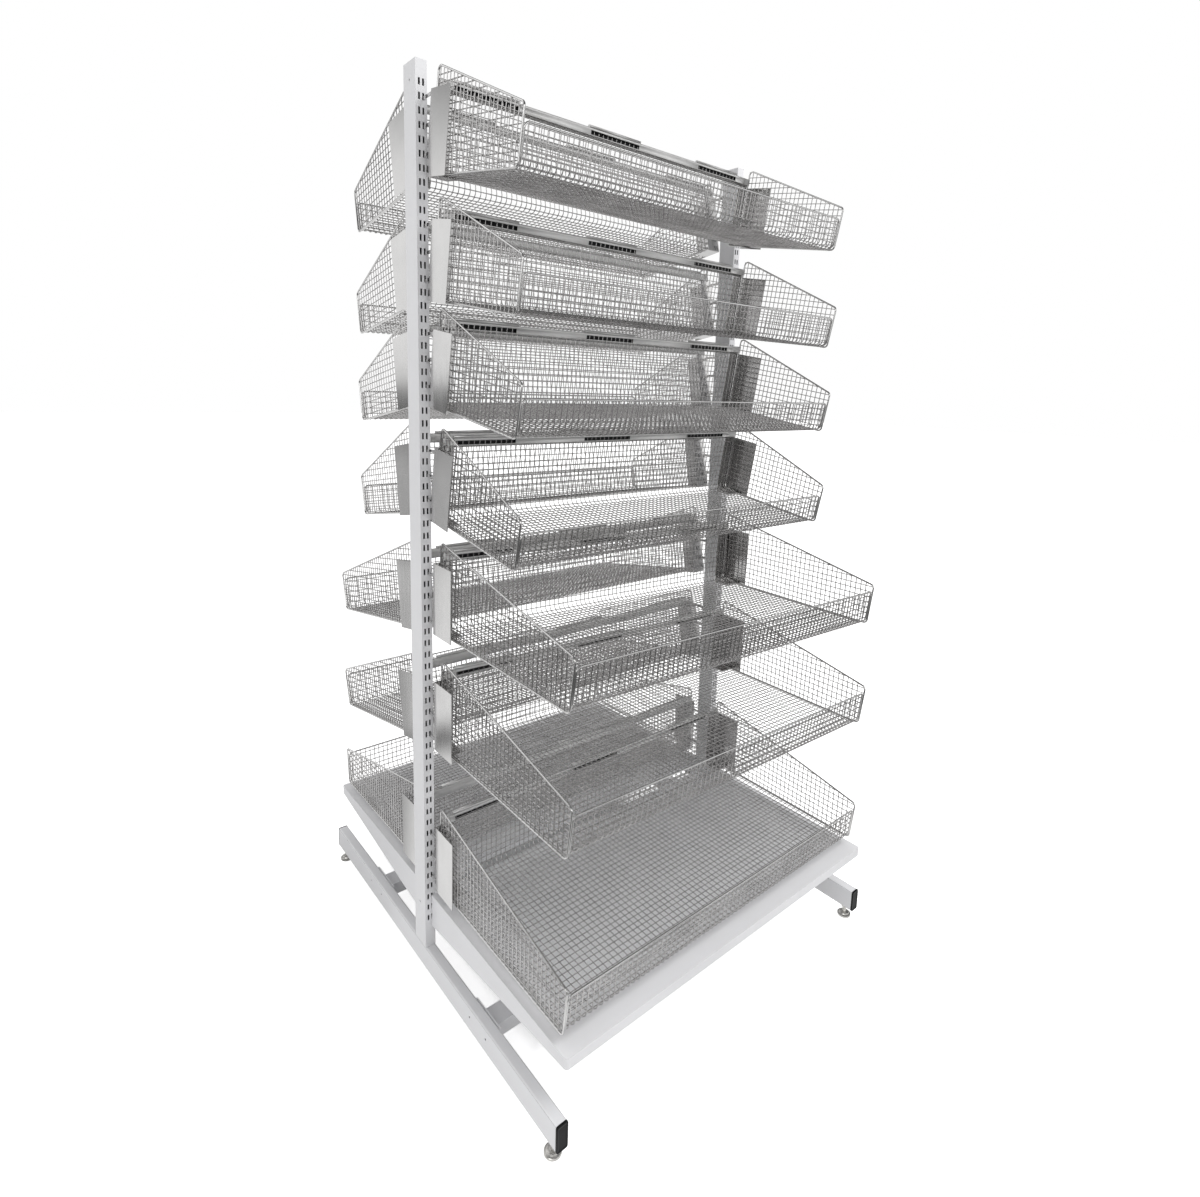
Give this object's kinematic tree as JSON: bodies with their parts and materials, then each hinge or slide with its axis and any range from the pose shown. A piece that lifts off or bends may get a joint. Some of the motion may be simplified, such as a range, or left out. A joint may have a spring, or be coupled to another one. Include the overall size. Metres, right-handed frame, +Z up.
{
  "type": "wire basket display unit",
  "caption": "Double-sided free-standing shop display: slotted steel uprights on tube feet carry base decks and wire mesh baskets, some tilted forward, that hook into the slots.",
  "frame": {"origin": "on the floor under the middle of the unit", "axes": "+Z up, the front of the unit faces -Y, +X to the right seen from the front"},
  "size_m": [0.938, 1.033, 1.889],
  "materials": {
    "white_coat": "satin white powder coat",
    "bright_wire": "bright zinc plated wire",
    "bracket_steel": "bare brushed sheet",
    "black_plastic": "matte moulded plastic",
    "zinc_plate": "zinc plate"
  },
  "bodies": {
    "frame": {"upright_left": "white_coat", "upright_right": "white_coat", "base_foot_left": "white_coat", "base_foot_right": "white_coat", "end_cap_front_left": "black_plastic", "end_cap_front_right": "black_plastic", "end_cap_back_left": "black_plastic", "end_cap_back_right": "black_plastic", "cross_rail_front": "white_coat", "cross_rail_back": "white_coat", "base_deck_front": "white_coat", "base_deck_back": "white_coat"},
    "front_basket_1": {"basket_front_1": "bright_wire", "bracket_front_1_left": "bracket_steel", "bracket_front_1_right": "bracket_steel"},
    "back_basket_1": {"basket_back_1": "bright_wire", "bracket_back_1_left": "bracket_steel", "bracket_back_1_right": "bracket_steel"},
    "front_basket_2": {"basket_front_2": "bright_wire", "bracket_front_2_left": "bracket_steel", "bracket_front_2_right": "bracket_steel"},
    "back_basket_2": {"basket_back_2": "bright_wire", "bracket_back_2_left": "bracket_steel", "bracket_back_2_right": "bracket_steel"},
    "front_basket_3": {"basket_front_3": "bright_wire", "bracket_front_3_left": "bracket_steel", "bracket_front_3_right": "bracket_steel"},
    "back_basket_3": {"basket_back_3": "bright_wire", "bracket_back_3_left": "bracket_steel", "bracket_back_3_right": "bracket_steel"},
    "front_basket_4": {"basket_front_4": "bright_wire", "bracket_front_4_left": "bracket_steel", "bracket_front_4_right": "bracket_steel"},
    "back_basket_4": {"basket_back_4": "bright_wire", "bracket_back_4_left": "bracket_steel", "bracket_back_4_right": "bracket_steel"},
    "front_basket_5": {"basket_front_5": "bright_wire", "bracket_front_5_left": "bracket_steel", "bracket_front_5_right": "bracket_steel"},
    "back_basket_5": {"basket_back_5": "bright_wire", "bracket_back_5_left": "bracket_steel", "bracket_back_5_right": "bracket_steel"},
    "front_basket_6": {"basket_front_6": "bright_wire", "bracket_front_6_left": "bracket_steel", "bracket_front_6_right": "bracket_steel"},
    "back_basket_6": {"basket_back_6": "bright_wire", "bracket_back_6_left": "bracket_steel", "bracket_back_6_right": "bracket_steel"},
    "front_basket_7": {"basket_front_7": "bright_wire", "bracket_front_7_left": "bracket_steel", "bracket_front_7_right": "bracket_steel"},
    "back_basket_7": {"basket_back_7": "bright_wire", "bracket_back_7_left": "bracket_steel", "bracket_back_7_right": "bracket_steel"},
    "leveller_front_left": {"levelling_foot_front_left": "zinc_plate"},
    "leveller_front_right": {"levelling_foot_front_right": "zinc_plate"},
    "leveller_back_left": {"levelling_foot_back_left": "zinc_plate"},
    "leveller_back_right": {"levelling_foot_back_right": "zinc_plate"}
  },
  "joints": [
    {"name": "front_basket_1_lift", "type": "slide", "parent": "frame", "child": "front_basket_1", "axis": [0, 0, 1], "range_m": [0, 0.0058]},
    {"name": "back_basket_1_lift", "type": "slide", "parent": "frame", "child": "back_basket_1", "axis": [0, 0, 1], "range_m": [0, 0.0058]},
    {"name": "front_basket_2_lift", "type": "slide", "parent": "frame", "child": "front_basket_2", "axis": [0, 0, 1], "range_m": [0, 0.0058]},
    {"name": "back_basket_2_lift", "type": "slide", "parent": "frame", "child": "back_basket_2", "axis": [0, 0, 1], "range_m": [0, 0.0058]},
    {"name": "front_basket_3_lift", "type": "slide", "parent": "frame", "child": "front_basket_3", "axis": [0, 0, 1], "range_m": [0, 0.0058]},
    {"name": "back_basket_3_lift", "type": "slide", "parent": "frame", "child": "back_basket_3", "axis": [0, 0, 1], "range_m": [0, 0.0058]},
    {"name": "front_basket_4_lift", "type": "slide", "parent": "frame", "child": "front_basket_4", "axis": [0, 0, 1], "range_m": [0, 0.0058]},
    {"name": "back_basket_4_lift", "type": "slide", "parent": "frame", "child": "back_basket_4", "axis": [0, 0, 1], "range_m": [0, 0.0058]},
    {"name": "front_basket_5_lift", "type": "slide", "parent": "frame", "child": "front_basket_5", "axis": [0, 0, 1], "range_m": [0, 0.0058]},
    {"name": "back_basket_5_lift", "type": "slide", "parent": "frame", "child": "back_basket_5", "axis": [0, 0, 1], "range_m": [0, 0.0058]},
    {"name": "front_basket_6_lift", "type": "slide", "parent": "frame", "child": "front_basket_6", "axis": [0, 0, 1], "range_m": [0, 0.0058]},
    {"name": "back_basket_6_lift", "type": "slide", "parent": "frame", "child": "back_basket_6", "axis": [0, 0, 1], "range_m": [0, 0.0058]},
    {"name": "front_basket_7_lift", "type": "slide", "parent": "frame", "child": "front_basket_7", "axis": [0, 0, 1], "range_m": [0, 0.0058]},
    {"name": "back_basket_7_lift", "type": "slide", "parent": "frame", "child": "back_basket_7", "axis": [0, 0, 1], "range_m": [0, 0.0058]},
    {"name": "leveller_front_left_turn", "type": "hinge", "parent": "frame", "child": "leveller_front_left", "pos_m": [-0.453, -0.488, 0], "axis": [0, 0, 1], "continuous": true},
    {"name": "leveller_front_right_turn", "type": "hinge", "parent": "frame", "child": "leveller_front_right", "pos_m": [0.453, -0.488, 0], "axis": [0, 0, 1], "continuous": true},
    {"name": "leveller_back_left_turn", "type": "hinge", "parent": "frame", "child": "leveller_back_left", "pos_m": [-0.453, 0.488, 0], "axis": [0, 0, 1], "continuous": true},
    {"name": "leveller_back_right_turn", "type": "hinge", "parent": "frame", "child": "leveller_back_right", "pos_m": [0.453, 0.488, 0], "axis": [0, 0, 1], "continuous": true}
  ]
}
